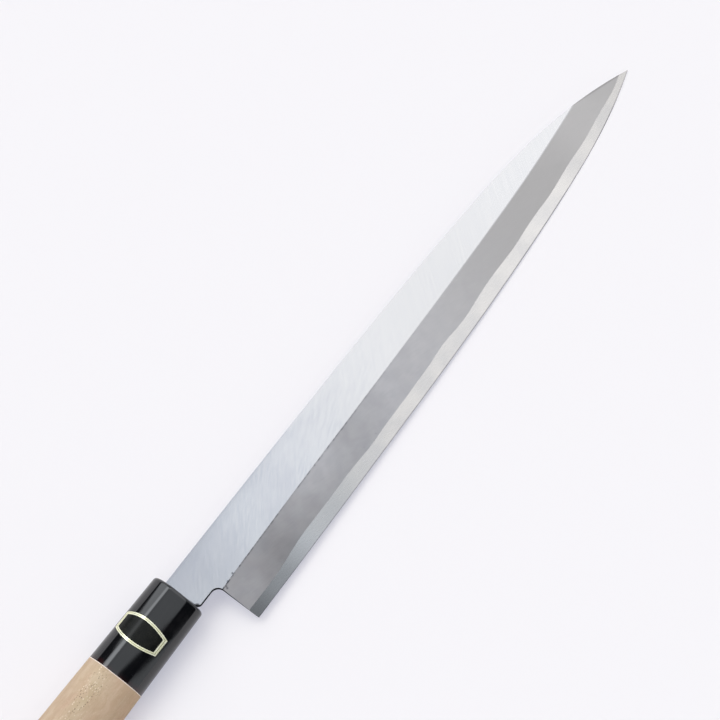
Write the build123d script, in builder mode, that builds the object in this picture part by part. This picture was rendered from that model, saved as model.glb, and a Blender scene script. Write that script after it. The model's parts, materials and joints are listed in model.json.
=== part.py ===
from build123d import *
from math import cos, radians, sin
import os

os.makedirs("parts", exist_ok=True)

# A single-bevel slicing knife with a wooden grip, in millimetres.
# The origin is the centre of the collar's front face, on the grip's axis. +X runs out along the
# blade to the tip, +Y is the side of the spine, and +Z is the side of the bevel.

# One overrun serves every cut.
overrun = 2.0

# The blade's outline. Rises and drops are measured from the grip's axis.
edge_length = 232.2
spine_rise = 5.9
heel_drop = 25.75
tip_drop = 10.5
bevel_width = 15.35

# The neck between the collar and the heel, with the notch under it.
neck_length = 10.2
neck_drop = 7.95
neck_gap = 0.4
notch_radius = 2.9
shoulder_radius = 1.7

# The blade's thickness tapers from the collar to the tip.
blade_thickness = 3.4
tip_thickness = 1.7
edge_thickness = 0.12

# The steel layer is a third of the blade's thickness.
steel_thickness = 1.1
tip_steel_thickness = 0.55
steel_start = 4.5
steel_ramp = 6.0

# The hollow of the back, which leaves a flat rim along the spine and the edge.
hollow_start = 2.0
hollow_depth = 0.25
hollow_run_out_depth = 0.03
spine_rim = 2.4
edge_rim = 1.3

# The grip, of D section, is one tapered form. Its front part is the horn collar.
grip_length = 136.0
collar_length = 34.5
front_half_height = 10.1
butt_half_height = 13.0
front_ridge_depth = 8.7
butt_ridge_depth = 10.9
front_back_depth = 7.9
butt_back_depth = 9.9
front_ridge_rise = 2.9
butt_ridge_rise = 3.8
front_ridge_radius = 3.8
butt_ridge_radius = 9.0
collar_front_radius = 1.2
butt_radius = 1.5

# The grip's tenon sits in the collar's blind socket.
socket_height = 15.0
socket_width = 11.4
front_wall = 8.0
tenon_clearance = 0.05
tenon_end_gap = 0.5

# The tang tapers in height and thickness. The hole leaves room round it for the bedding.
tang_length = 96.0
tang_root_height = 10.4
tang_end_height = 5.4
tang_root_thickness = 2.8
tang_end_thickness = 2.0
tang_end_radius = 1.6
tang_embedding = 1.5
bedding_thickness = 0.5
bedding_end = 3.0

# The barrel-shaped label lies over the ridge, so its plane leans towards the spine.
label_setback = 18.4
label_span = 17.3
label_middle_length = 10.4
label_end_length = 6.7
label_film_thickness = 0.1
label_centre_rise = 1.3
label_centre_depth = 5.5
label_lean = 12.7
label_reach = 5.0

# Places worked out from these sizes.
tip_x = neck_length + edge_length
back_z = -blade_thickness / 2
front_z = blade_thickness / 2
tip_front_z = back_z + tip_thickness


def face_height(x):
    """Height of the blade's flat face, which falls steadily towards the tip."""
    return front_z - (front_z - tip_front_z) * x / tip_x


# Stations along the edge, from just behind the heel to just past the tip. The spine's shares are of
# its whole fall to the tip, the edge's are of its whole rise, and the bevel's are of its width.
station_shares = [-0.02, 0, 0.1, 0.3, 0.5, 0.65, 0.8, 0.9, 1, 1.03]
spine_shares = [0, 0, 0.004, 0.018, 0.058, 0.128, 0.284, 0.543, 1, 1.16]
edge_shares = [-0.002, 0, 0.016, 0.069, 0.138, 0.239, 0.41, 0.61, 1, 1.14]
bevel_shares = [0.99, 1, 1.03, 1.04, 1.026, 0.987, 0.93, 0.87, 0.62, 0.53]

station_x = [neck_length + share * edge_length for share in station_shares]
spine_y = [spine_rise - share * (spine_rise + tip_drop) for share in spine_shares]
edge_y = [share * (heel_drop - tip_drop) - heel_drop for share in edge_shares]
ridge_y = [y + share * bevel_width for y, share in zip(edge_y, bevel_shares)]

spine_points = list(zip(station_x, spine_y))[1:-1]
edge_points = list(zip(station_x, edge_y))[1:-1]

# The blade without its tang: the outline seen from the bevel side, between the flat back and the
# flat face that tapers towards the tip.
with BuildPart() as blade_form:
    with BuildSketch(Plane.XY.offset(back_z)):
        with BuildLine():
            Line((neck_gap, spine_rise), spine_points[0])
            Spline(*spine_points)
            Spline(*edge_points)
            Line(edge_points[0], (neck_length, -neck_drop - notch_radius))
            RadiusArc(
                (neck_length, -neck_drop - notch_radius),
                (neck_length - notch_radius, -neck_drop),
                -notch_radius,
                short_sagitta=True,
            )
            Line((neck_length - notch_radius, -neck_drop), (neck_gap + shoulder_radius, -neck_drop))
            RadiusArc(
                (neck_gap + shoulder_radius, -neck_drop),
                (neck_gap, shoulder_radius - neck_drop),
                shoulder_radius,
                short_sagitta=True,
            )
            Line((neck_gap, shoulder_radius - neck_drop), (neck_gap, spine_rise))
        make_face()
    extrude(amount=blade_thickness)
    with BuildSketch(Plane.XZ):
        with BuildLine():
            Polyline(
                (0, back_z),
                (tip_x + overrun, back_z),
                (tip_x + overrun, face_height(tip_x + overrun)),
                (0, front_z),
                close=True,
            )
        make_face()
    extrude(amount=heel_drop + overrun, both=True, mode=Mode.INTERSECT)

# The bevel is a surface ruled from the ridge line down to the edge. It is drawn a little too wide on
# both sides, and everything above it goes.
bevel_top_points = []
bevel_foot_points = []
for x, y_edge, y_ridge in zip(station_x, edge_y, ridge_y):
    edge_z = back_z + edge_thickness
    slope = (face_height(x) - edge_z) / (y_ridge - y_edge)
    bevel_top_points.append((x, y_ridge + overrun, face_height(x) + slope * overrun))
    bevel_foot_points.append((x, y_edge - overrun, edge_z - slope * overrun))

with BuildLine() as bevel_top:
    Spline(*bevel_top_points)
with BuildLine() as bevel_foot:
    Spline(*bevel_foot_points)
bevel_face = Face.make_surface_from_curves(bevel_top.edge(), bevel_foot.edge())

with BuildPart() as bevel_waste:
    extrude(bevel_face, amount=blade_thickness + overrun, dir=(0, 0, 1))

# The shallow hollow of the back is a loft of flat arcs. It starts in the neck, is at its full depth
# at the stations between the heel and the tip, and runs out at the last of them.
hollow_station_x = [neck_gap + hollow_start] + station_x[2:8]
hollow_high_y = [y - spine_rim for y in [spine_rise] + spine_y[2:8]]
hollow_low_y = [y + edge_rim for y in [-heel_drop] + edge_y[2:8]]
hollow_depths = [hollow_run_out_depth] + [hollow_depth] * 5 + [hollow_run_out_depth]

with BuildPart() as hollow_waste:
    for x, low_y, high_y, depth in zip(hollow_station_x, hollow_low_y, hollow_high_y, hollow_depths):
        with BuildSketch(Plane.YZ.offset(x)):
            with BuildLine():
                ThreePointArc((low_y, back_z), ((low_y + high_y) / 2, back_z + depth), (high_y, back_z))
                Polyline(
                    (high_y, back_z),
                    (high_y, back_z - overrun),
                    (low_y, back_z - overrun),
                    (low_y, back_z),
                )
            make_face()
    loft()

with BuildPart() as blade_body:
    add(blade_form.part)
    add(bevel_waste.part, mode=Mode.SUBTRACT)
    add(hollow_waste.part, mode=Mode.SUBTRACT)

# The steel layer lies under the weld, which wanders as a forged one does. It starts at the top of a
# ramp in the neck, and its stations are shares of the way from there to the tip. Its heights are
# shares of the layer's thickness there.
weld_station_shares = [
    0, 0.04, 0.08, 0.11, 0.15, 0.2, 0.25, 0.3, 0.33, 0.37, 0.42, 0.45, 0.48, 0.51,
    0.54, 0.57, 0.6, 0.63, 0.66, 0.69, 0.73, 0.76, 0.82, 0.86, 0.9, 0.93, 0.96, 0.98, 1,
]
weld_height_shares = [
    0.89, 0.86, 0.9, 1.03, 1.08, 1.05, 1.06, 0.96, 1.01, 1.01, 1.04, 1.06, 1.14, 1.04,
    1, 1.09, 1.14, 1.11, 1.05, 1.09, 1.1, 1.03, 1.1, 1.0, 1.0, 0.89, 0.8, 0.87, 0.88,
]
weld_start_x = steel_start + steel_ramp
weld_end_x = tip_x + overrun
weld_line_points = []
for station_share, height_share in zip(weld_station_shares, weld_height_shares):
    x = weld_start_x + (weld_end_x - weld_start_x) * station_share
    thickness = steel_thickness - (steel_thickness - tip_steel_thickness) * x / tip_x
    weld_line_points.append((x, back_z + thickness * height_share))

with BuildPart() as steel_zone:
    with BuildSketch(Plane.XZ):
        with BuildLine():
            Spline(*weld_line_points)
            Polyline(
                weld_line_points[-1],
                (weld_end_x, back_z - overrun),
                (steel_start, back_z - overrun),
                (steel_start, back_z),
                weld_line_points[0],
            )
        make_face()
    extrude(amount=heel_drop + overrun, both=True)

with BuildPart() as blade_steel:
    add(blade_body.part)
    add(steel_zone.part, mode=Mode.INTERSECT)

# The iron carries the tang, which leaves the neck behind a small shoulder on every side.
with BuildPart() as tang:
    with BuildSketch(Plane.YZ.offset(neck_gap + tang_embedding)):
        Rectangle(tang_root_height, tang_root_thickness)
    with BuildSketch(Plane.YZ.offset(-tang_length)):
        Rectangle(tang_end_height, tang_end_thickness)
    loft()
    fillet(tang.edges().filter_by(Axis.Z).sort_by(Axis.X)[:2], tang_end_radius)

with BuildPart() as blade_iron:
    add(blade_body.part)
    add(steel_zone.part, mode=Mode.SUBTRACT)
    add(tang.part)


# Where the two curves of the bevel side bulge: shares of the half height and of the ridge's depth.
crown_shares = [(1, 0.54), (0.66, 0.86)]
flank_shares = [(-0.42, 0.92), (-1, 0.62)]


def make_grip_section(half_height, ridge_rise, ridge_depth, back_depth, ridge_radius):
    """A round back, and two swelling curves on the bevel side that meet in a soft ridge."""
    crown = [(half_height * across, ridge_depth * deep) for across, deep in crown_shares]
    flank = [(half_height * across, ridge_depth * deep) for across, deep in flank_shares]
    ridge = (ridge_rise, ridge_depth)
    with BuildSketch() as section:
        with BuildLine():
            Bezier((half_height, 0), *crown, ridge)
            Bezier(ridge, *flank, (-half_height, 0))
            EllipticalCenterArc((0, 0), half_height, back_depth, start_angle=180, arc_size=180)
        make_face()
        fillet(section.vertices().sort_by(Axis.Y)[-1], ridge_radius)
    return section.sketch


def make_grip_form(growth):
    """The whole tapered grip, drawn larger all round by the growth."""
    front_section = make_grip_section(
        front_half_height + growth,
        front_ridge_rise,
        front_ridge_depth + growth,
        front_back_depth + growth,
        front_ridge_radius + growth,
    )
    butt_section = make_grip_section(
        butt_half_height + growth,
        butt_ridge_rise,
        butt_ridge_depth + growth,
        butt_back_depth + growth,
        butt_ridge_radius + growth,
    )
    with BuildPart() as form:
        with BuildSketch(Plane.YZ):
            add(front_section)
        with BuildSketch(Plane.YZ.offset(-grip_length)):
            add(butt_section)
        loft(ruled=True)
    return form.part


grip_form = make_grip_form(0)

# The hole for the tang, from the collar's front face into the wood.
with BuildPart() as tang_hole:
    with BuildSketch(Plane.YZ):
        Rectangle(tang_root_height + 2 * bedding_thickness, tang_root_thickness + 2 * bedding_thickness)
    with BuildSketch(Plane.YZ.offset(-tang_length - bedding_end)):
        Rectangle(tang_end_height + 2 * bedding_thickness, tang_end_thickness + 2 * bedding_thickness)
    loft()

# The wax and resin that beds the tang fills the rest of the hole and ends flush with the collar.
with BuildPart() as tang_bedding:
    add(tang_hole.part)
    add(tang.part, mode=Mode.SUBTRACT)

# The horn collar: a blind oval socket behind a front wall with the tang's slot.
socket_depth = collar_length - front_wall

with BuildPart() as ferrule:
    add(grip_form)
    split(bisect_by=Plane.YZ.offset(-collar_length), keep=Keep.TOP)
    fillet(ferrule.faces().sort_by(Axis.X)[-1].edges(), collar_front_radius)
    with BuildSketch(Plane.YZ.offset(-collar_length)):
        Ellipse(socket_height / 2, socket_width / 2)
    extrude(amount=socket_depth, mode=Mode.SUBTRACT)
    add(tang_hole.part, mode=Mode.SUBTRACT)

# The wooden grip, whose tenon stops short of the socket's end.
with BuildPart() as handle:
    add(grip_form)
    split(bisect_by=Plane.YZ.offset(-collar_length), keep=Keep.BOTTOM)
    fillet(handle.faces().sort_by(Axis.X)[0].edges(), butt_radius)
    with BuildSketch(Plane.YZ.offset(-collar_length)):
        Ellipse(socket_height / 2 - tenon_clearance, socket_width / 2 - tenon_clearance)
    extrude(amount=socket_depth - tenon_end_gap)
    add(tang_hole.part, mode=Mode.SUBTRACT)

# The label is a film on the collar, cut to a barrel outline: straight ends, bulging long sides.
label_plane = Plane(
    origin=(-label_setback, label_centre_rise, label_centre_depth),
    x_dir=(1, 0, 0),
    z_dir=(0, sin(radians(label_lean)), cos(radians(label_lean))),
)
half_span = label_span / 2
half_end = label_end_length / 2
half_middle = label_middle_length / 2
film_form = make_grip_form(label_film_thickness)

with BuildPart() as label_film:
    with BuildSketch(label_plane):
        with BuildLine():
            Line((-half_end, half_span), (half_end, half_span))
            ThreePointArc((half_end, half_span), (half_middle, 0), (half_end, -half_span))
            Line((half_end, -half_span), (-half_end, -half_span))
            ThreePointArc((-half_end, -half_span), (-half_middle, 0), (-half_end, half_span))
        make_face()
    extrude(amount=label_reach, both=True)
    add(film_form, mode=Mode.INTERSECT)
    add(grip_form, mode=Mode.SUBTRACT)

blade_iron.part.label = "blade_iron"
export_step(blade_iron.part, "parts/blade_iron.step")
blade_steel.part.label = "blade_steel"
export_step(blade_steel.part, "parts/blade_steel.step")
tang_bedding.part.label = "tang_bedding"
export_step(tang_bedding.part, "parts/tang_bedding.step")
ferrule.part.label = "ferrule"
export_step(ferrule.part, "parts/ferrule.step")
handle.part.label = "handle"
export_step(handle.part, "parts/handle.step")
label_film.part.label = "label_film"
export_step(label_film.part, "parts/label_film.step")
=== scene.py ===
# %% [markdown]
# # A single-bevel slicing knife, finished in Blender
# The knife comes from the CAD pack as six solids: the iron of the blade, its steel layer, the horn
# collar, the magnolia grip, the bedding of the tang and a small label film. Their shapes are right,
# so this lesson is mostly about surfaces: how ground iron, polished steel, horn and bare wood differ
# under one soft light. The only new piece is the gilt border that is printed on the label.

# %% Load the frame
import json
import math

import bpy
from mathutils import Matrix, Vector


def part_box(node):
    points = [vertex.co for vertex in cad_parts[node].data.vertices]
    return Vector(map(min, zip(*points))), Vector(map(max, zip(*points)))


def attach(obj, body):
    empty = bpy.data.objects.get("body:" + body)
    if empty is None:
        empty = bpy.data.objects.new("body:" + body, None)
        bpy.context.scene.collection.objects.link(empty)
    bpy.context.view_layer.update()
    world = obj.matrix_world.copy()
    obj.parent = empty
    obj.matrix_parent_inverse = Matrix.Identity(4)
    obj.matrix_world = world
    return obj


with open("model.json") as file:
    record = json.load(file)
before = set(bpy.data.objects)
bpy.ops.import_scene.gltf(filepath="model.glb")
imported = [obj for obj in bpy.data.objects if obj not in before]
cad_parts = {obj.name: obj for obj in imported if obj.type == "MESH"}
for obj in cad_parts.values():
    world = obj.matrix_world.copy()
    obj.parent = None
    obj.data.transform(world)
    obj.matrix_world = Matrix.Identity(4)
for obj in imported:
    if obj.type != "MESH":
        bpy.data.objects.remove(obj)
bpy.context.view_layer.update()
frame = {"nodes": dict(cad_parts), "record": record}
nodes = frame["nodes"]
MM = 0.001

# %% [markdown]
# ## Places read from the frame
# Nothing is measured twice. The flat of the blade is a plane that the record gives as a mount, and
# the nodes give the back of the blade, its spine and tip, the neck and the collar's rear face.

# %% Read the places that the finishes follow
steel_low, steel_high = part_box("blade_steel")
film_low, film_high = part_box("label_film")
flat_mount = next(mount for mount in frame["record"]["mounts"] if mount["name"] == "blade_flat")
flat_point = Vector(flat_mount["pos_m"])
flat_normal = Vector(flat_mount["axis"]).normalized()
back_height = steel_low.z
first_of_neck = 1 * MM
neck_low = min(
    vertex.co.y for vertex in nodes["blade_iron"].data.vertices if 0 < vertex.co.x < first_of_neck
)
spine_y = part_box("blade_iron")[1].y
tip_x = steel_high.x
tip_y = max(nodes["blade_steel"].data.vertices, key=lambda vertex: vertex.co.x).co.y
joint_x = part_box("ferrule")[0].x
print("blade back at z", round(back_height / MM, 2), "mm, tip at x", round(tip_x / MM, 1), "mm")
print("collar meets the wood at x", round(joint_x / MM, 2), "mm")

# %% [markdown]
# ## The camera
# The photograph looks down on the blade from behind the grip's edge side. A long lens keeps the
# perspective weak, so the camera is given as a viewing direction, a distance and the point that it
# looks at. The view is from an azimuth of 52.9 degrees to the left and an elevation of 75.5 degrees.

# %% Place the camera
view_azimuth = math.radians(-52.9)
view_elevation = math.radians(75.5)
view_distance = 1.0
view_target = Vector((101.37, 0.76, 0.0)) * MM
lens_length = 146.25
sensor_width = 36.0
nearest_seen, farthest_seen = 0.05, 20.0

towards_camera = Vector((
    math.sin(view_azimuth) * math.cos(view_elevation),
    -math.cos(view_azimuth) * math.cos(view_elevation),
    math.sin(view_elevation),
))
camera_data = bpy.data.cameras.new("photo_camera")
camera_data.lens = lens_length
camera_data.sensor_width = sensor_width
camera_data.clip_start = nearest_seen
camera_data.clip_end = farthest_seen
camera = bpy.data.objects.new("photo_camera", camera_data)
bpy.context.collection.objects.link(camera)
camera.location = view_target + towards_camera * view_distance
camera.rotation_mode = "QUATERNION"
camera.rotation_quaternion = (-towards_camera).to_track_quat("-Z", "Y")
bpy.context.scene.camera = camera
bpy.context.scene.view_settings.view_transform = "Standard"
print("camera at", [round(value, 3) for value in camera.location])

# %% [markdown]
# ## A bench for shader nodes
# A procedural material is a small circuit. Placing each node by hand takes many lines, so this
# bench adds a node, sets it up and joins its inputs in one call. Every finish below uses it.

# %% Make the bench
NODE_STEP = 190
NODES_IN_A_ROW = 9


class Bench:
    """Adds shader nodes to one tree, from left to right, and joins them."""

    def __init__(self, tree):
        self.tree = tree
        self.made = 0

    def node(self, kind, feeds=None, **settings):
        """A node of this kind, with its settings and with its inputs fed by name or number."""
        made = self.tree.nodes.new(kind)
        column, row = self.made % NODES_IN_A_ROW, self.made // NODES_IN_A_ROW
        made.location = (column * NODE_STEP, -row * NODE_STEP * 2)
        self.made += 1
        for name, value in settings.items():
            setattr(made, name, value)
        for name, value in (feeds or {}).items():
            self.feed(made.inputs[name], value)
        return made

    def feed(self, socket, value):
        """Joins another node's output to the socket, or sets the socket to a plain value."""
        if isinstance(value, bpy.types.NodeSocket):
            self.tree.links.new(value, socket)
        else:
            socket.default_value = value

    def math(self, operation, first, second=0.0):
        return self.node("ShaderNodeMath", {0: first, 1: second}, operation=operation).outputs[0]

    def times(self, first, second):
        return self.math("MULTIPLY", first, second)

    def vector_math(self, operation, first, second=(0.0, 0.0, 0.0), output="Vector"):
        made = self.node("ShaderNodeVectorMath", {0: first, 1: second}, operation=operation)
        return made.outputs[output]

    def parts(self, vector):
        """The X, Y and Z of a vector."""
        return self.node("ShaderNodeSeparateXYZ", {0: vector}).outputs

    def whole(self, x=0.0, y=0.0, z=0.0):
        """The vector with this X, Y and Z."""
        return self.node("ShaderNodeCombineXYZ", {0: x, 1: y, 2: z}).outputs["Vector"]

    def fade(self, value, start, end, low=0.0, high=1.0):
        """Low up to the start, high from the end, and a soft step between them."""
        made = self.node("ShaderNodeMapRange", {
            "Value": value, "From Min": start, "From Max": end, "To Min": low, "To Max": high,
        }, interpolation_type="SMOOTHSTEP")
        return made.outputs["Result"]

    def mix(self, share, first, second):
        """The first number at share 0 and the second at share 1."""
        return self.node("ShaderNodeMix", {0: share, 2: first, 3: second}).outputs[0]

    def blend(self, share, first, second):
        """The first colour at share 0 and the second at share 1."""
        made = self.node("ShaderNodeMix", {0: share, 6: first, 7: second}, data_type="RGBA")
        return made.outputs[2]

    def noise(self, vector, scale, detail=2.0):
        made = self.node("ShaderNodeTexNoise", {"Vector": vector, "Scale": scale, "Detail": detail})
        return made.outputs["Fac"]

    def ramp(self, value, stops):
        """A smooth curve through the stops, each a share of the way and a shade from 0 to 1."""
        made = self.node("ShaderNodeValToRGB", {"Fac": value})
        made.color_ramp.interpolation = "CARDINAL"
        points = made.color_ramp.elements
        points[0].position, points[-1].position = stops[0][0], stops[-1][0]
        for share, shade in stops[1:-1]:
            points.new(share)
        for point, (share, shade) in zip(points, stops):
            point.color = (shade, shade, shade, 1.0)
        return made.outputs["Color"]

    def shade(self, colour, level):
        """The colour times a level: 1 leaves it as it is, less darkens it, more lightens it."""
        return self.vector_math("MULTIPLY", colour, level)

    def place(self):
        """The point's place in the knife's own frame, in metres."""
        return self.node("ShaderNodeTexCoord").outputs["Object"]

    def facing(self, kind="Normal"):
        """The direction that the surface faces: smoothed, or each face's own as True Normal."""
        return self.node("ShaderNodeNewGeometry").outputs[kind]

    def group(self, tree, feeds=None):
        made = self.node("ShaderNodeGroup", node_tree=tree)
        for name, value in (feeds or {}).items():
            self.feed(made.inputs[name], value)
        return made


def start_group(name, inputs, outputs):
    """A shader node group: its bench, its inputs by name and the node that takes its outputs."""
    tree = bpy.data.node_groups.new(name, "ShaderNodeTree")
    for label, kind in inputs.items():
        tree.interface.new_socket(label, in_out="INPUT", socket_type="NodeSocket" + kind)
    for label, kind in outputs.items():
        tree.interface.new_socket(label, in_out="OUTPUT", socket_type="NodeSocket" + kind)
    bench = Bench(tree)
    return bench, bench.node("NodeGroupInput").outputs, bench.node("NodeGroupOutput").inputs


def start_material(name):
    """A material with one Principled BSDF: its bench and that shader."""
    material = bpy.data.materials.new(name)
    material.use_nodes = True
    tree = material.node_tree
    return material, Bench(tree), tree.nodes["Principled BSDF"]


def paint(red, green, blue):
    """A colour as a paint chart gives it, 0 to 255, as the linear values that shaders use."""
    linear = [
        value / 255 / 12.92 if value / 255 <= 0.04045 else ((value / 255 + 0.055) / 1.055) ** 2.4
        for value in (red, green, blue)
    ]
    return (*linear, 1.0)


def dress(node_name, material):
    """Puts the material in every slot of a CAD node."""
    for index in range(len(nodes[node_name].data.materials)):
        nodes[node_name].data.materials[index] = material
    made = len(material.node_tree.nodes)
    print("dressed", node_name, "in", material.name, "of", made, "shader nodes")


# %% [markdown]
# ## Effects that several finishes share
# Grinding leaves long fine lines in one direction. They are noise that is stretched along the
# line, and the lines bend a little because the work swings past the wheel. Clouding is plain soft
# noise. Specks are the cells of a Voronoi texture, cut down to dots, with only some of them kept.
# Each effect is a node group that is built once. A short function places it on a bench.

# %% Build the group for grinding lines
line_contrast = (0.25, 0.75)

bench, given, result = start_group(
    "grinding_lines",
    {"Vector": "Vector", "Angle": "Float", "Bend": "Float", "Length": "Float", "Width": "Float"},
    {"Lines": "Float"},
)
swing = bench.times(bench.parts(given["Vector"])["X"], given["Bend"])
turn = bench.times(bench.math("ADD", given["Angle"], swing), -1.0)
turned = bench.node("ShaderNodeVectorRotate", {
    "Vector": given["Vector"], "Angle": turn,
}, rotation_type="Z_AXIS").outputs["Vector"]
stretch = bench.whole(given["Length"], given["Width"], given["Width"])
drawn = bench.vector_math("DIVIDE", turned, stretch)
bench.feed(result["Lines"], bench.fade(bench.noise(drawn, 1.0, detail=3.0), *line_contrast))
grinding_lines = bench.tree
print("grinding lines take", bench.made, "nodes")


def grind(bench, vector, angle, bend, length, width):
    """Lines at this angle in degrees, about this long and this wide."""
    return bench.group(grinding_lines, {
        "Vector": vector, "Angle": math.radians(angle), "Bend": bend, "Length": length, "Width": width,
    }).outputs["Lines"]


# %% Build the group for clouding
cloud_contrast = (0.3, 0.7)

bench, given, result = start_group(
    "clouding", {"Vector": "Vector", "Size": "Float"}, {"Cloud": "Float"}
)
stretch = bench.whole(given["Size"], given["Size"], given["Size"])
sized = bench.vector_math("DIVIDE", given["Vector"], stretch)
bench.feed(result["Cloud"], bench.fade(bench.noise(sized, 1.0, detail=4.0), *cloud_contrast))
clouding = bench.tree
print("clouding takes", bench.made, "nodes")


def cloud(bench, vector, size):
    """Soft clouds, each about this wide."""
    return bench.group(clouding, {"Vector": vector, "Size": size}).outputs["Cloud"]


# %% Build the group for specks
least_dot = 0.5
solid_middle = 0.4

bench, given, result = start_group(
    "specks",
    {"Vector": "Vector", "Length": "Float", "Width": "Float", "Share": "Float", "Dot": "Float"},
    {"Specks": "Float"},
)
stretch = bench.whole(given["Length"], given["Width"], given["Width"])
spread = bench.vector_math("DIVIDE", given["Vector"], stretch)
cells = bench.node("ShaderNodeTexVoronoi", {"Vector": spread, "Scale": 1.0})
chance = bench.parts(cells.outputs["Color"])["X"]
kept = bench.math("LESS_THAN", chance, given["Share"])
size = bench.times(given["Dot"], bench.math("ADD", chance, least_dot))
inner = bench.times(size, solid_middle)
dot = bench.fade(cells.outputs["Distance"], inner, size, 1.0, 0.0)
bench.feed(result["Specks"], bench.times(dot, kept))
specks = bench.tree
print("specks take", bench.made, "nodes")


def sprinkle(bench, vector, length, width, share, dot):
    """Dots in cells of this length and width. Share is how many cells have one, dot its size."""
    return bench.group(specks, {
        "Vector": vector, "Length": length, "Width": width, "Share": share, "Dot": dot,
    }).outputs["Specks"]


# %% [markdown]
# ## Where a point lies on the blade
# The iron and the steel both need to know how far up the bevel a point is. The bevel rises from the
# back of the blade to the flat, so the point's height above the back, as a share of the whole
# height there, runs from 0 at the edge to 1 at the ridge line. The flat is the plane in the record.
# The thin line just below the ridge, the walls, the back and the straight run of the spine down to
# the point are found in the same way, from the point's place and the direction that it faces.

# %% Choose how fine the lines on the blade are
# A fade is given as where it starts, where it ends, and its value before and after. Where it has
# only two numbers, the values are 0 and 1.
point_run_angle = math.radians(-17.9)
point_run_start = 219 * MM
ridge_softening = (50 * MM, 150 * MM, 0.03 * MM, 0.07 * MM)
scale_below_ridge = (0.0, 0.02 * MM)
scale_ends = (0.04 * MM, 0.13 * MM, 1.0, 0.0)
painted_edge_reflection_top = (0.125 * MM, 0.165 * MM, 1.0, 0.0)
point_line_width = (-0.3 * MM, -0.05 * MM)
point_line_start = (point_run_start - 2 * MM, point_run_start + 1 * MM)
wall_steepness = 0.6
spine_facing = 0.2

# %% Build the group for places on the blade
bench, given, result = start_group("blade_place", {}, {
    "Across": "Float", "Flat": "Float", "Ridge": "Float", "Edge": "Float", "Wall": "Float",
    "Spine": "Float", "Back": "Float", "Along": "Float", "Point": "Float",
})
here = bench.place()
axes = bench.parts(here)
faces = bench.parts(bench.facing("True Normal"))
from_flat = bench.vector_math("SUBTRACT", here, tuple(flat_point))
above_flat = bench.vector_math("DOT_PRODUCT", from_flat, tuple(flat_normal), "Value")
below_flat = bench.times(above_flat, -1.0)
above_back = bench.math("SUBTRACT", axes["Z"], back_height)
height_there = bench.math("ADD", above_back, below_flat)
bench.feed(result["Along"], bench.math("DIVIDE", axes["X"], tip_x))
bench.feed(result["Across"], bench.math("DIVIDE", above_back, height_there))
ridge_softness = bench.fade(axes["X"], *ridge_softening)
bench.feed(result["Flat"], bench.fade(below_flat, 0.0, ridge_softness, 1.0, 0.0))
bench.feed(result["Ridge"], bench.times(
    bench.fade(below_flat, *scale_below_ridge), bench.fade(below_flat, *scale_ends)
))
# Edge is the foot of the bevel, where the steel gets a painted dark reflection.
bench.feed(result["Edge"], bench.fade(above_back, *painted_edge_reflection_top))

# %% Find the walls, the spine, the back and the run down to the point
on_wall = bench.math("LESS_THAN", bench.math("ABSOLUTE", faces["Z"]), wall_steepness)
on_spine = bench.math("GREATER_THAN", faces["Y"], spine_facing)
bench.feed(result["Wall"], bench.times(on_wall, bench.math("SUBTRACT", 1.0, on_spine)))
bench.feed(result["Spine"], bench.times(on_wall, on_spine))
bench.feed(result["Back"], bench.math("LESS_THAN", faces["Z"], -wall_steepness))
from_tip = bench.vector_math("SUBTRACT", here, (tip_x, tip_y, 0.0))
square_to_run = (-math.sin(point_run_angle), math.cos(point_run_angle), 0.0)
off_run = bench.vector_math("DOT_PRODUCT", from_tip, square_to_run, "Value")
bench.feed(result["Point"], bench.times(
    bench.fade(off_run, *point_line_width), bench.fade(axes["X"], *point_line_start)
))
blade_place = bench.tree
print("a point on the blade knows", ", ".join(result.keys()[:-1]))

# %% [markdown]
# ## The iron of the blade
# Soft iron carries two finishes. The flat is ground on a belt: fine lines that slant towards the
# spine, bolder and cloudier by the neck, a bluish grey sheen, and a darker shade along the spine by
# the heel. The bevel is finished on stones, which leaves it matte, darker and cloudy, with a few
# dark specks where scale was trapped near the weld, and with a broken dark line of scale under the
# ridge by the heel. Each finish could have a mesh and a material of its own. Here one material holds
# both, and the mask of the flat joins them, so the ridge stays as sharp as the shape makes it.

# %% Choose the painted light along the flat and the bevel
# Painted light: these levels lighten and darken each stretch of the blade, as the room that it mirrors
# there would.
flat_painted_light = (
    (0.0, 0.82), (0.06, 0.82), (0.12, 0.90), (0.19, 0.94), (0.25, 0.97), (0.34, 0.97), (0.42, 0.99),
    (0.5, 0.95), (0.6, 0.91), (0.76, 0.91), (0.83, 0.90), (1.0, 0.88),
)
bevel_painted_light = (
    (0.0, 0.84), (0.08, 0.83), (0.125, 0.66), (0.17, 0.73), (0.25, 0.92), (0.33, 0.88), (0.41, 1.0),
    (0.50, 1.0), (0.58, 0.93), (0.66, 0.85), (0.82, 0.82), (0.89, 0.90), (0.96, 0.84), (1.0, 0.80),
)
print("shades along the flat:", len(flat_painted_light), "and along the bevel:", len(bevel_painted_light))

# %% Lay the lines and the clouds on the iron
heel_fade = (20 * MM, 95 * MM, 1.0, 0.0)

iron, bench, shader = start_material("blade_iron")
here = bench.place()
axes = bench.parts(here)
place = bench.group(blade_place).outputs
by_heel = bench.fade(axes["X"], *heel_fade)
belt = grind(bench, here, angle=37, bend=1.2, length=14 * MM, width=0.42 * MM)
bold = grind(bench, here, angle=43, bend=-2.5, length=5 * MM, width=0.7 * MM)
stone = grind(bench, here, angle=-14, bend=0.0, length=6 * MM, width=0.25 * MM)
drift = cloud(bench, here, 22 * MM)
mottle = cloud(bench, here, 5 * MM)
patches = cloud(bench, here, 9 * MM)

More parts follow.
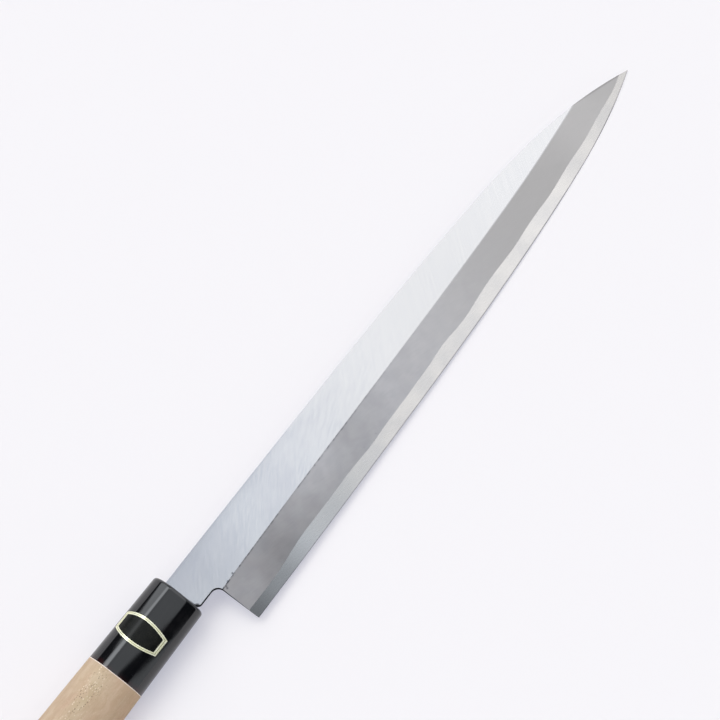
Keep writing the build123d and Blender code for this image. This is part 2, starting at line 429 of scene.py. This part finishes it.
# %% Choose the colours and fades of the flat
ground_grey, ground_pale = paint(187, 188, 194), paint(196, 197, 201)
ground_neutral = paint(190, 188, 188)
belt_grey, bold_grey, spine_shade = paint(150, 156, 167), paint(150, 155, 166), paint(130, 134, 142)
neutral_fade = (10 * MM, 115 * MM)
belt_shares = (0.0, 1.0, 0.08, 0.17)
bold_in_patches = (0.0, 1.0, 0.4, 1.0)
bold_fade = (60 * MM, 125 * MM, 0.26, 0.04)
near_spine = (spine_y - 4.5 * MM, spine_y - 1.1 * MM, 0.0, 0.4)
at_spine = (spine_y - 1.1 * MM, spine_y - 0.6 * MM, 0.0, 0.6)
spine_fade = (45 * MM, 75 * MM, 0.25, 0.0)

# %% Colour the flat
flat_colour = bench.blend(drift, ground_grey, ground_pale)
flat_colour = bench.blend(bench.fade(axes["X"], *neutral_fade), flat_colour, ground_neutral)
# The flat's painted light along the blade.
flat_colour = bench.shade(flat_colour, bench.ramp(place["Along"], flat_painted_light))
belt_share = bench.times(belt, bench.fade(by_heel, *belt_shares))
flat_colour = bench.blend(belt_share, flat_colour, belt_grey)
bold_share = bench.times(bold, bench.fade(patches, *bold_in_patches))
bold_share = bench.times(bold_share, bench.fade(axes["X"], *bold_fade))
flat_colour = bench.blend(bold_share, flat_colour, bold_grey)
by_spine = bench.math(
    "ADD", bench.fade(axes["Y"], *near_spine), bench.fade(axes["Y"], *at_spine)
)
by_spine = bench.times(by_spine, bench.fade(axes["X"], *spine_fade))
flat_colour = bench.blend(by_spine, flat_colour, spine_shade)
print("nodes on the iron's bench once the flat is coloured:", bench.made)

# %% Choose the colours and fades of the bevel
stone_grey, stone_pale = paint(172, 170, 173), paint(183, 181, 183)
stone_brown, stone_warm = paint(178, 170, 169), paint(181, 176, 172)
stone_line_grey, speck_grey = paint(140, 140, 144), paint(96, 96, 100)
brown_fade = (25 * MM, 80 * MM, 0.3, 0.1)
stone_line_share = (0.3, 1.0, 0.0, 0.12)
warm_fade = (80 * MM, 190 * MM, 0.0, 0.6)
# Where the painted light across the bevel starts and ends, and its level from the edge to the ridge.
painted_light_starts = (15 * MM, 28 * MM)
painted_light_ends = (65 * MM, 80 * MM, 1.0, 0.0)
painted_light_edge_to_ridge = (0.3, 0.95, 0.94, 1.11)
specks_by_weld = (0.33, 0.5, 1.0, 0.12)

# %% Colour the bevel
bevel_colour = bench.blend(mottle, stone_grey, stone_pale)
brown = bench.times(patches, bench.fade(axes["X"], *brown_fade))
bevel_colour = bench.blend(brown, bevel_colour, stone_brown)
bevel_colour = bench.blend(bench.fade(stone, *stone_line_share), bevel_colour, stone_line_grey)
bevel_colour = bench.blend(bench.fade(axes["X"], *warm_fade), bevel_colour, stone_warm)
# The bevel's painted light along the blade.
bevel_colour = bench.shade(bevel_colour, bench.ramp(place["Along"], bevel_painted_light))
# Painted light across the bevel: darker by the edge and lighter by the ridge, whose rounding catches
# more of the room, from about 15 to 80 mm along.
painted_light_there = bench.times(
    bench.fade(axes["X"], *painted_light_starts), bench.fade(axes["X"], *painted_light_ends)
)
painted_light_across = bench.mix(painted_light_there, 1.0, bench.fade(place["Across"], *painted_light_edge_to_ridge))
bevel_colour = bench.shade(bevel_colour, painted_light_across)
weld_specks = sprinkle(bench, here, length=2.1 * MM, width=1.5 * MM, share=0.22, dot=0.2)
weld_specks = bench.times(weld_specks, bench.fade(place["Across"], *specks_by_weld))
bevel_colour = bench.blend(weld_specks, bevel_colour, speck_grey)
print("nodes on it once the bevel is coloured:", bench.made)

# %% Join them at the ridge, with the scale under it
scale_grain = 0.9 / MM
scale_grey, mark_grey = paint(62, 64, 70), paint(72, 75, 82)
scale_breaks = (0.42, 0.6, 0.12, 1.0)
scale_thins = (12 * MM, 30 * MM, 1.0, 0.55)
scale_stops = (70 * MM, 120 * MM, 1.0, 0.0)
mark_size = (0.1 * MM, 0.6 * MM, 0.7, 0.0)
scale_marks = ((11.4, -11.6), (11.7, -10.9), (13.3, -10.4), (16.4, -9.9))

colour = bench.blend(place["Flat"], bevel_colour, flat_colour)
scale_noise = bench.noise(here, scale_grain, detail=3.0)
scale_share = bench.times(place["Ridge"], bench.fade(scale_noise, *scale_breaks))
scale_share = bench.times(scale_share, bench.fade(axes["X"], *scale_thins))
scale_share = bench.times(scale_share, bench.fade(axes["X"], *scale_stops))
colour = bench.blend(scale_share, colour, scale_grey)
flat_place = bench.vector_math("MULTIPLY", here, (1.0, 1.0, 0.0))
for x, y in scale_marks:
    off_mark = bench.vector_math("DISTANCE", flat_place, (x * MM, y * MM, 0.0), "Value")
    colour = bench.blend(bench.fade(off_mark, *mark_size), colour, mark_grey)
print("besides the line there are", len(scale_marks), "marks of scale by the neck")

# %% Darken the point, and paint shade by the neck and on the walls
point_grey, point_share = paint(84, 84, 86), 0.28
# Painted shade: a thin contact shadow across the low half of the neck by the collar, and a darker blob
# in the shadowed corner under the neck.
neck_painted_shade, corner_painted_shade = paint(34, 34, 38), paint(30, 30, 34)
wall_painted_shade, spine_grey = paint(24, 25, 30), paint(158, 160, 164)
neck_corner = (0.2 * MM, neck_low, flat_point.z)
low_half_fade = (-6 * MM, -2 * MM, 0.9, 0.2)
neck_fade = (0.2 * MM, 0.8 * MM, 1.0, 0.0)
painted_light_corner_fade = (1.0 * MM, 1.7 * MM, 0.95, 0.0)

colour = bench.blend(bench.times(place["Point"], point_share), colour, point_grey)
low_half = bench.fade(axes["Y"], *low_half_fade)
painted_shade_by_collar = bench.times(bench.fade(axes["X"], *neck_fade), low_half)
colour = bench.blend(painted_shade_by_collar, colour, neck_painted_shade)
off_corner = bench.vector_math("DISTANCE", here, neck_corner, "Value")
colour = bench.blend(bench.fade(off_corner, *painted_light_corner_fade), colour, corner_painted_shade)
# The walls get painted shade: the blade's thin sides stand in shadow.
colour = bench.blend(place["Wall"], colour, wall_painted_shade)
colour = bench.blend(place["Spine"], colour, spine_grey)

# %% Give the iron its gloss and its relief
flat_gloss = (0.0, 1.0, 0.24, 0.26)
bevel_gloss = (0.0, 1.0, 0.40, 0.48)
belt_relief = (0.0, 1.0, 0.04, 0.2)
iron_relief = 0.002 * MM

rough = bench.mix(place["Flat"], bench.fade(mottle, *bevel_gloss), bench.fade(belt, *flat_gloss))
rough = bench.mix(place["Wall"], rough, 1.0)
belt_height = bench.times(belt, bench.fade(by_heel, *belt_relief))
lines = bench.mix(place["Flat"], stone, belt_height)
relief = bench.node("ShaderNodeBump", {"Height": lines, "Strength": 0.5, "Distance": iron_relief})
shader.inputs["Metallic"].default_value = 1.0
bench.feed(shader.inputs["Base Color"], colour)
bench.feed(shader.inputs["Roughness"], rough)
bench.feed(shader.inputs["Normal"], relief.outputs["Normal"])
dress("blade_iron", iron)

# %% [markdown]
# ## The steel layer
# The hard steel takes a higher polish, so it shows as a brighter band along the edge and mirrors
# the room more sharply. By the heel its colour is painted darker, a painted dark reflection, and its
# lightness along the blade is painted light too. The whole hollow back is steel too: it is ground
# lengthwise. The direction that the surface faces tells the back from the band, so one material
# finishes both without a seam in the mesh.

# %% Choose the painted light along the band
# Painted light: darkest by the heel, where the band stands for a dark reflection, and dimmer again by
# the point.
band_painted_light = (
    (0.0, 0.24), (0.058, 0.32), (0.083, 0.44), (0.124, 0.54), (0.165, 0.76), (0.25, 0.80), (0.33, 0.94),
    (0.50, 0.96), (0.66, 0.94), (0.76, 0.94), (0.83, 0.85), (0.94, 0.75), (1.0, 0.70),
)
print("shades along the band:", len(band_painted_light), "the darkest", band_painted_light[0][1])

# %% Choose the colours and fades of the steel
band_grey, band_pale, band_cool = paint(206, 202, 200), paint(216, 211, 207), paint(206, 209, 213)
dash_grey, painted_edge_reflection_grey = paint(140, 141, 143), paint(66, 66, 66)
back_grey, back_pale = paint(196, 198, 203), paint(208, 209, 212)
cool_fade = (0.08, 0.4, 0.9, 0.0)
dashes_by_weld = (0.26, 0.32, 0.0, 0.6)
painted_edge_reflection_fade = (0.9, 0.97, 0.8, 0.25)
steel_gloss = (0.0, 1.0, 0.22, 0.28)
steel_relief = 0.0015 * MM

# %% Finish the steel
steel, bench, shader = start_material("blade_steel")
here = bench.place()
place = bench.group(blade_place).outputs
stone = grind(bench, here, angle=-14, bend=0.0, length=5 * MM, width=0.2 * MM)
lengthwise = grind(bench, here, angle=0, bend=0.1, length=30 * MM, width=0.3 * MM)
band_colour = bench.blend(cloud(bench, here, 9 * MM), band_grey, band_pale)
band_colour = bench.blend(bench.fade(place["Along"], *cool_fade), band_colour, band_cool)
# The band's painted light along the blade.
band_colour = bench.shade(band_colour, bench.ramp(place["Along"], band_painted_light))
weld_dashes = sprinkle(bench, here, length=2.6 * MM, width=0.8 * MM, share=0.3, dot=0.25)
weld_dashes = bench.times(weld_dashes, bench.fade(place["Across"], *dashes_by_weld))
band_colour = bench.blend(weld_dashes, band_colour, dash_grey)
# A painted dark reflection along the cutting edge, weaker near the point.
painted_edge_reflection = bench.times(place["Edge"], bench.fade(place["Along"], *painted_edge_reflection_fade))
band_colour = bench.blend(painted_edge_reflection, band_colour, painted_edge_reflection_grey)
colour = bench.blend(place["Back"], band_colour, bench.blend(lengthwise, back_grey, back_pale))
# The steel's walls get the same painted shade.
colour = bench.blend(place["Wall"], colour, wall_painted_shade)
lines = bench.mix(place["Back"], stone, lengthwise)
rough = bench.mix(place["Wall"], bench.fade(lines, *steel_gloss), 1.0)
relief = bench.node("ShaderNodeBump", {"Height": lines, "Strength": 0.28, "Distance": steel_relief})
shader.inputs["Metallic"].default_value = 1.0
bench.feed(shader.inputs["Base Color"], colour)
bench.feed(shader.inputs["Roughness"], rough)
bench.feed(shader.inputs["Normal"], relief.outputs["Normal"])
dress("blade_steel", steel)

# %% [markdown]
# ## The horn collar
# Buffalo horn is almost black and takes a high polish. It is never quite even: faint brown fibres
# run along it, and where it is thin by the wood it lets a dark red through. A polish this high shows
# every wobble of a mesh, so the sides are given one even lean towards the front, as the taper has.

# %% Colour the horn
horn_black, horn_fibre = paint(9, 10, 13), paint(22, 20, 22)
horn_red, dust_grey = paint(50, 15, 16), paint(120, 122, 126)
red_by_wood = (joint_x + 0.2 * MM, joint_x + 2.4 * MM, 1.0, 0.0)
red_in_patches = (0.45, 0.95, 0.1, 0.8)
horn_gloss = (0.0, 1.0, 0.035, 0.06)

horn, bench, shader = start_material("horn")
here = bench.place()
fibres = grind(bench, here, angle=0, bend=0.0, length=26 * MM, width=0.9 * MM)
patches = cloud(bench, here, 7 * MM)
colour = bench.blend(bench.times(fibres, patches), horn_black, horn_fibre)
by_the_wood = bench.fade(bench.parts(here)["X"], *red_by_wood)
red_glow = bench.times(by_the_wood, bench.fade(patches, *red_in_patches))
colour = bench.blend(red_glow, colour, horn_red)
dust = sprinkle(bench, here, length=1.3 * MM, width=1.3 * MM, share=0.09, dot=0.1)
bench.feed(shader.inputs["Base Color"], bench.blend(dust, colour, dust_grey))
bench.feed(shader.inputs["Roughness"], bench.fade(patches, *horn_gloss))
shader.inputs["Specular IOR Level"].default_value = 0.75

# %% Give its sides one even lean, and polish it
collar_lean = 0.0145
more_lean_on_the_flanks = 0.007
side_facing = (0.03, 0.09, 1.0, 0.0)
polish_relief = 0.0006 * MM

polish = grind(bench, here, angle=80, bend=0.0, length=5 * MM, width=0.12 * MM)
faces = bench.parts(bench.facing())
on_side = bench.fade(bench.math("ABSOLUTE", faces["X"]), *side_facing)
flank = bench.times(faces["Y"], faces["Y"])
taper = bench.math("ADD", collar_lean, bench.times(flank, more_lean_on_the_flanks))
even_x = bench.mix(on_side, faces["X"], taper)
even_facing = bench.vector_math("NORMALIZE", bench.whole(even_x, faces["Y"], faces["Z"]))
relief = bench.node("ShaderNodeBump", {
    "Height": polish, "Strength": 0.25, "Distance": polish_relief, "Normal": even_facing,
})
bench.feed(shader.inputs["Normal"], relief.outputs["Normal"])
print("the collar's top leans", round(math.degrees(math.asin(collar_lean)), 2), "degrees")
dress("ferrule", horn)

# %% [markdown]
# ## The magnolia grip
# Magnolia is a pale, even wood. The fibres run along the grip, short dark pores and pale flecks lie
# along them, and broad soft bands of heartwood drift through. The bands are rings about a centre
# well outside the grip, so the butt shows them as end grain. A single noise gives a wood that looks
# printed. Real grain has several sizes at once, so each size is a thin layer of its own here.

# %% Bend the grain and find the rings
sway_size, sway_reach = 0.08 / MM, 11 * MM
to_heart, heart_squash = (0.0, 0.045, -0.03), (0.06, 1.0, 1.0)
rings_in_a_metre = 330.0
figure_stretch, long_stretch = (0.35, 1.0, 1.0), (0.28, 1.0, 1.0)

wood, bench, shader = start_material("magnolia")
here = bench.place()
axes = bench.parts(here)
fibres = grind(bench, here, angle=1.5, bend=0.1, length=9 * MM, width=0.28 * MM)
sway = bench.times(bench.math("SUBTRACT", bench.noise(here, sway_size), 0.5), sway_reach)
swayed = bench.vector_math("ADD", here, bench.whole(y=sway))
along_grain = bench.vector_math("MULTIPLY", swayed, figure_stretch)
long_grain = bench.vector_math("MULTIPLY", swayed, long_stretch)
heart = bench.vector_math("MULTIPLY", bench.vector_math("ADD", here, to_heart), heart_squash)
ring_radius = bench.vector_math("LENGTH", heart, output="Value")
rings = bench.noise(bench.whole(x=ring_radius), rings_in_a_metre)
print("the heart of the tree is", round(Vector(to_heart).length / MM), "mm off the grip's axis")

# %% Colour the wood, with its tan streak
wood_pale, wood_deep, wood_low = paint(203, 178, 150), paint(194, 167, 141), paint(193, 164, 136)
wood_tan, tan_share = paint(194, 174, 138), 0.6
streak_y = 2.5 * MM
streak_width = (1 * MM, 4.5 * MM, 1.0, 0.15)
streak_clouds = (0.0, 1.0, 0.35, 1.0)
low_side_fade = (-5 * MM, 5 * MM, 1.0, 0.0)

colour = bench.blend(cloud(bench, here, 26 * MM), wood_pale, wood_deep)
colour = bench.blend(bench.fade(axes["Y"], *low_side_fade), colour, wood_low)
off_streak = bench.math("ABSOLUTE", bench.math("SUBTRACT", axes["Y"], streak_y))
streak_cloud = bench.fade(cloud(bench, along_grain, 4 * MM), *streak_clouds)
streak = bench.times(bench.fade(off_streak, *streak_width), streak_cloud)
colour = bench.blend(bench.times(streak, tan_share), colour, wood_tan)

# %% Lay the figure, the rings and the fibres over it
wood_pink, figure_dark, figure_pale = paint(199, 165, 141), paint(176, 146, 117), paint(214, 193, 167)
ring_brown, fibre_brown = paint(176, 147, 118), paint(166, 137, 110)
pink_place = bench.vector_math("ADD", along_grain, (0.1, 0.2, 0.3))
pale_place = bench.vector_math("ADD", long_grain, (0.3, 0.1, 0.2))
layers = (
    (cloud(bench, pink_place, 4 * MM), (0.3, 1.0, 0.0, 0.4), wood_pink),
    (cloud(bench, long_grain, 1.7 * MM), (0.2, 1.0, 0.0, 0.26), figure_dark),
    (cloud(bench, pale_place, 2.2 * MM), (0.3, 1.0, 0.0, 0.3), figure_pale),
    (rings, (0.4, 0.7, 0.0, 0.2), ring_brown),
    (fibres, (0.3, 1.0, 0.0, 0.13), fibre_brown),
)
for pattern, strength, tint in layers:
    colour = bench.blend(bench.fade(pattern, *strength), colour, tint)
print("the wood has", len(layers), "thin layers over its colour")

# %% Add the pores, the flecks, and the painted highlight and bounce light
pore_brown, fleck_pale, joint_painted_highlight = paint(134, 112, 88), paint(232, 215, 190), paint(246, 231, 219)
pore_length, pore_width, pore_dot = 0.85 * MM, 0.55 * MM, 0.6
pores_in_streak = (0.15, 0.7, 0.1, 0.8)
flecks_in_streak = (0.15, 0.7, 0.1, 0.75)
painted_light_corner_fade = (joint_x - 0.3 * MM, joint_x - 0.2 * MM, 0.0, 0.85)
painted_bounce_on_low_flank = (-0.98, -0.6, 1.22, 1.0)

pores = sprinkle(bench, here, pore_length, pore_width, share=0.4, dot=pore_dot)
pore_share = bench.times(pores, bench.fade(streak, *pores_in_streak))
colour = bench.blend(pore_share, colour, pore_brown)
fleck_place = bench.vector_math("ADD", here, (0.3, 0.2, 0.1))
flecks = sprinkle(bench, fleck_place, pore_length, pore_width, share=0.38, dot=pore_dot)
fleck_share = bench.times(flecks, bench.fade(streak, *flecks_in_streak))
colour = bench.blend(fleck_share, colour, fleck_pale)
# A painted highlight: a pale line on the wood where it meets the collar.
colour = bench.blend(bench.fade(axes["X"], *painted_light_corner_fade), colour, joint_painted_highlight)
# Painted bounce light: the flank that faces down towards the edge side is lightened, as light from the
# floor would lift it.
facing_y = bench.parts(bench.facing())["Y"]
colour = bench.shade(colour, bench.fade(facing_y, *painted_bounce_on_low_flank))

# %% Give the wood its dull surface
wood_gloss = (0.0, 1.0, 0.62, 0.74)
fibre_relief = 0.02 * MM

relief = bench.node("ShaderNodeBump", {"Height": fibres, "Strength": 0.5, "Distance": fibre_relief})
bench.feed(shader.inputs["Base Color"], colour)
bench.feed(shader.inputs["Roughness"], bench.fade(fibres, *wood_gloss))
bench.feed(shader.inputs["Normal"], relief.outputs["Normal"])
dress("handle", wood)

# %% [markdown]
# ## The bedding and the label film
# Wax and resin fill the slot round the tang: a dark brown, dull and a little lumpy. The label is a
# black film with a soft gloss. Neither has a grain, but one flat colour looks like plastic, so both
# drift between two near shades, and the darker one shines a little more. One helper does that.

# %% Finish the bedding and the film
def finish_in_clouds(bench, shader, size, colours, gloss):
    """Soft clouds of this size, from the first colour and roughness to the second."""
    clouds = cloud(bench, bench.place(), size)
    bench.feed(shader.inputs["Base Color"], bench.blend(clouds, *colours))
    bench.feed(shader.inputs["Roughness"], bench.fade(clouds, 0.0, 1.0, *gloss))


resin, bench, shader = start_material("resin")
finish_in_clouds(bench, shader, 1.5 * MM, (paint(30, 20, 14), paint(58, 40, 28)), (0.45, 0.7))
dress("tang_bedding", resin)

film, bench, shader = start_material("label_film")
finish_in_clouds(bench, shader, 2.0 * MM, (paint(12, 13, 11), paint(20, 20, 16)), (0.2, 0.28))
shader.inputs["Specular IOR Level"].default_value = 0.2
dress("label_film", film)

# %% [markdown]
# ## The gilt border of the label
# The label is a black film with two gilt lines and a dull groove between them, printed a little
# proud. They could be painted in the film's material, but paint has no edge that catches the light,
# so they are a thin mesh. The outline is barrel-shaped, so a circle is bent to it, and insets make
# the lines. The flat border is then dropped onto the film with a shrinkwrap, which bends it over
# the ridge, and Solidify gives it the thickness of ink.

# %% Measure the film
film_lean = math.radians(12.7)
film_axis = Vector((0.0, math.cos(film_lean), -math.sin(film_lean)))
film_up = Vector((0.0, math.sin(film_lean), math.cos(film_lean)))
film_corners = [vertex.co.copy() for vertex in nodes["label_film"].data.vertices]
end_tolerance = 0.01 * MM
film_reach = [film_axis.dot(corner) for corner in film_corners]
film_middle_x = (film_low.x + film_high.x) / 2
film_middle_across = (max(film_reach) + min(film_reach)) / 2
half_span = (max(film_reach) - min(film_reach)) / 2
half_middle = (film_high.x - film_low.x) / 2
half_end = max(
    abs(corner.x - film_middle_x)
    for corner, reach in zip(film_corners, film_reach) if reach > max(film_reach) - end_tolerance
)
film_sizes = [round(half * 2 / MM, 2) for half in (half_span, half_middle, half_end)]
print("film in mm, its length and its width at the middle and the ends:", film_sizes)

# %% [markdown]
# An inset goes astray where it is deeper than the edges beside a corner are long, so the outline is
# drawn with few edges, each longer than the lines are deep. The rings are cut finer afterwards, so
# that they can bend.

# %% Bend a circle to the barrel outline
end_steps = 4
side_steps = 14
bulge = half_middle - half_end
bulge_radius = (half_span ** 2 + bulge ** 2) / (2 * bulge)


def half_length_at(across):
    """Half the label's length at this place across the ridge, where its long sides are arcs."""
    return half_middle - bulge_radius + math.sqrt(bulge_radius ** 2 - across ** 2)


outline = []
for step in range(end_steps):
    outline.append((half_end - 2 * half_end * step / end_steps, half_span))
for step in range(side_steps):
    across = half_span - 2 * half_span * step / side_steps
    outline.append((-half_length_at(across), across))
outline += [(-x, -y) for x, y in outline]

bpy.ops.object.select_all(action="DESELECT")
bpy.ops.mesh.primitive_circle_add(vertices=len(outline), radius=half_span, fill_type="NGON")
border = bpy.context.object
border.name = "label_border"
for vertex, (x, y) in zip(border.data.vertices, outline):
    vertex.co = (x, y, 0.0)
if border.data.polygons[0].normal.z < 0:
    border.data.flip_normals()

# %% Inset the lines
gilt, bench, shader = start_material("gilt")
groove, groove_bench, groove_shader = start_material("groove")
border.data.materials.append(gilt)
border.data.materials.append(groove)
film_rim = 0.16 * MM
line_width = 0.43 * MM
groove_width = 0.17 * MM
cuts = 3

bpy.ops.object.mode_set(mode="EDIT")
bpy.ops.mesh.select_mode(type="FACE")
bpy.ops.mesh.select_all(action="SELECT")
bpy.ops.mesh.inset(thickness=film_rim, depth=0.0)
bpy.ops.mesh.select_all(action="INVERT")
bpy.ops.mesh.delete(type="FACE")
bpy.ops.mesh.select_all(action="SELECT")
for width, slot_index in ((line_width, 0), (groove_width, 1), (line_width, 0)):
    border.active_material_index = slot_index
    bpy.ops.object.material_slot_assign()
    bpy.ops.mesh.inset(thickness=width, depth=0.0)
bpy.ops.mesh.delete(type="FACE")
bpy.ops.mesh.select_all(action="SELECT")
bpy.ops.mesh.subdivide(number_cuts=cuts)
bpy.ops.object.mode_set(mode="OBJECT")
print("border has", len(border.data.polygons), "faces before it is wrapped")

# %% Wrap the border over the ridge
border_lift = 12 * MM
film_gap = 0.004 * MM
ink_thickness = 0.035 * MM
smooth_below = math.radians(40)
film_centre = Vector((film_middle_x, 0.0, 0.0)) + film_axis * film_middle_across
border.matrix_world = Matrix.Translation(film_centre + film_up * border_lift) @ Matrix(
    (Vector((1.0, 0.0, 0.0)), film_axis, film_up)
).transposed().to_4x4()
bpy.context.view_layer.update()
wrap = border.modifiers.new("wrap", "SHRINKWRAP")
wrap.target = nodes["label_film"]
wrap.wrap_method = "PROJECT"
wrap.use_project_z = True
wrap.use_negative_direction = True
wrap.use_positive_direction = False
wrap.offset = film_gap
bpy.ops.object.modifier_apply(modifier=wrap.name)
ink = border.modifiers.new("ink", "SOLIDIFY")
ink.thickness = ink_thickness
ink.offset = 1.0
bpy.ops.object.modifier_apply(modifier=ink.name)
bpy.ops.object.transform_apply(location=True, rotation=True, scale=True)
bpy.ops.object.shade_smooth_by_angle(angle=smooth_below)
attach(border, "root")
heights = [film_up.dot(vertex.co) / MM for vertex in border.data.vertices]
print("border from", round(min(heights), 2), "to", round(max(heights), 2), "mm up the film's normal")

# %% Finish the gilt and the groove
gilt_colours, gilt_gloss = (paint(242, 239, 200), paint(252, 250, 226)), (0.28, 0.36)
groove_colours, groove_gloss = (paint(142, 139, 96), paint(170, 167, 122)), (0.35, 0.5)
finish_in_clouds(bench, shader, 1.4 * MM, gilt_colours, gilt_gloss)
shader.inputs["Metallic"].default_value = 0.5
finish_in_clouds(groove_bench, groove_shader, 1.0 * MM, groove_colours, groove_gloss)
print("the border wears", [material.name for material in border.data.materials])

# %% [markdown]
# ## The floor
# A knife like this doesn't lie level. The collar's round back and the edge near the tip touch the
# table, so the floor leans against the blade's own frame: the angles are the rest position that the
# physics engine found. Seen from below the floor is clear, so that low views aren't blocked.

# %% Lay the floor under the knife
floor_pitch = -1.14
floor_roll = 6.47
floor_half = 4.0

floor_normal = Vector((
    math.sin(math.radians(floor_pitch)),
    math.sin(math.radians(floor_roll)),
    math.cos(math.radians(floor_roll)) * math.cos(math.radians(floor_pitch)),
)).normalized()
lowest = min(
    floor_normal.dot(vertex.co) for node in nodes.values() for vertex in node.data.vertices
)
bpy.ops.object.select_all(action="DESELECT")
bpy.ops.mesh.primitive_plane_add(size=2 * floor_half, location=floor_normal * lowest)
floor = bpy.context.object
floor.name = "floor"
floor.rotation_mode = "QUATERNION"
floor.rotation_quaternion = floor_normal.to_track_quat("Z", "Y")
print("the floor touches the knife", round(lowest / MM, 2), "mm from the origin")

# %% Paint the floor
floor_grey, seen_blue = paint(198, 191, 181), paint(228, 231, 253)
seen_strength = 0.43

floor_paint, bench, shader = start_material("floor_paint")
shader.inputs["Base Color"].default_value = floor_grey
shader.inputs["Roughness"].default_value = 0.9
shader.inputs["Specular IOR Level"].default_value = 0.1
rays = bench.node("ShaderNodeLightPath").outputs
seen = bench.math("MAXIMUM", rays["Is Camera Ray"], bench.math(
    "MAXIMUM", rays["Is Glossy Ray"], rays["Is Transmission Ray"]
))
shader.inputs["Emission Color"].default_value = seen_blue
bench.feed(shader.inputs["Emission Strength"], bench.times(seen, seen_strength))
from_below = bench.node("ShaderNodeNewGeometry").outputs["Backfacing"]
clear = bench.node("ShaderNodeBsdfTransparent").outputs["BSDF"]
both = bench.node("ShaderNodeMixShader", {0: from_below, 1: shader.outputs["BSDF"], 2: clear})
bench.feed(floor_paint.node_tree.nodes["Material Output"].inputs["Surface"], both.outputs["Shader"])
floor.data.materials.append(floor_paint)

# %% [markdown]
# ## The light
# A polished knife is mostly a picture of the room, so the room is painted with care and no lamp is
# hung. A room is drawn here as panels that run beside the knife. An angle says how far a panel is
# from straight up, positive towards the spine's side. The panels hang a little askew, so each end of
# a panel has two angles: as the collar's rear end mirrors it and as its front end does. A soft box
# with a hot middle stands on the spine's side, a pale ceiling grows brighter past the tip, and black
# gaps between them put the dark bands in the horn.

# %% Start the room
room = bpy.data.worlds.new("room")
bpy.context.scene.world = room
room.use_nodes = True
bench = Bench(room.node_tree)
direction = bench.node("ShaderNodeTexCoord").outputs["Generated"]
towards = bench.parts(direction)
across_angle = bench.math("ARCTAN2", towards["Y"], towards["Z"])
REAR_X, FRONT_X = 0.097, 0.124
PANEL_END = 0.1


def past(angles, softness):
    """A mask that rises where the direction passes an angle, which moves from rear to front."""
    rear, front = [math.radians(angle) for angle in angles]
    angle = bench.node("ShaderNodeMapRange", {
        "Value": towards["X"], "From Min": REAR_X, "From Max": FRONT_X, "To Min": rear, "To Max": front,
    }).outputs["Result"]
    half = math.radians(softness) / 2
    return bench.fade(bench.math("SUBTRACT", across_angle, angle), -half, half)


def panel(first, last, softness, low_x=-0.5, high_x=0.6):
    """A mask for the part of the room between two slanted angles and between two places along it."""
    side = bench.math("SUBTRACT", past(first, softness), past(last, softness))
    starts = bench.fade(towards["X"], low_x - PANEL_END, low_x + PANEL_END)
    ends = bench.fade(towards["X"], high_x - PANEL_END, high_x + PANEL_END, 1.0, 0.0)
    return bench.times(side, bench.times(starts, ends))


def grey(level, warmth=0.0):
    """A light of this level, warmer or cooler than neutral."""
    return (level * (1 + warmth), level, level * (1 - warmth), 1.0)


# %% Paint the ceiling, which grows brighter past the tip
wall, pale_wall = grey(0.55, -0.06), grey(0.88, -0.05)
ceiling_rear, ceiling_over, ceiling_front = grey(0.60, -0.05), grey(0.92, -0.05), grey(1.45, -0.03)
ceiling = bench.blend(bench.fade(towards["X"], 0.11, 0.34), ceiling_over, ceiling_front)
ceiling = bench.blend(bench.fade(towards["X"], 0.0, 0.11), ceiling_rear, ceiling)

# %% Hang the panels, each over the ones before it
beside_dim, beside_bright = grey(0.85, -0.05), grey(2.15, -0.02)
box_light, hot_middle = grey(2.0, -0.04), grey(3.7, -0.04)
far_gap, near_gap = grey(0.02), grey(0.04)
beside_box = bench.blend(bench.fade(towards["X"], 0.12, 0.26), beside_dim, beside_bright)
panels = (
    (panel((-38, -38), (9, 9), 8, high_x=1.2), ceiling),
    (panel((1, 1), (20, 20), 6, high_x=0.8), beside_box),
    (panel((40, 40), (57, 78), 7), box_light),
    (panel((21, 20), (49, 44), 12, low_x=-0.3, high_x=0.5), hot_middle),
    (panel((-43, -90), (-18, -36), 4), far_gap),
    (panel((57, 78), (88, 90), 5), near_gap),
)
colour = bench.blend(panel((-84, -84), (-30, -30), 6), wall, pale_wall)
for mask, light in panels:
    colour = bench.blend(mask, colour, light)
print("the room has", len(panels) + 1, "panels")

# %% Paint the horizon
horizon_white = paint(248, 248, 252)
by_horizon = bench.fade(towards["Z"], 0.08, 0.11, 1.0, 0.0)
colour = bench.blend(by_horizon, colour, horizon_white)
bench.feed(room.node_tree.nodes["Background"].inputs["Color"], colour)
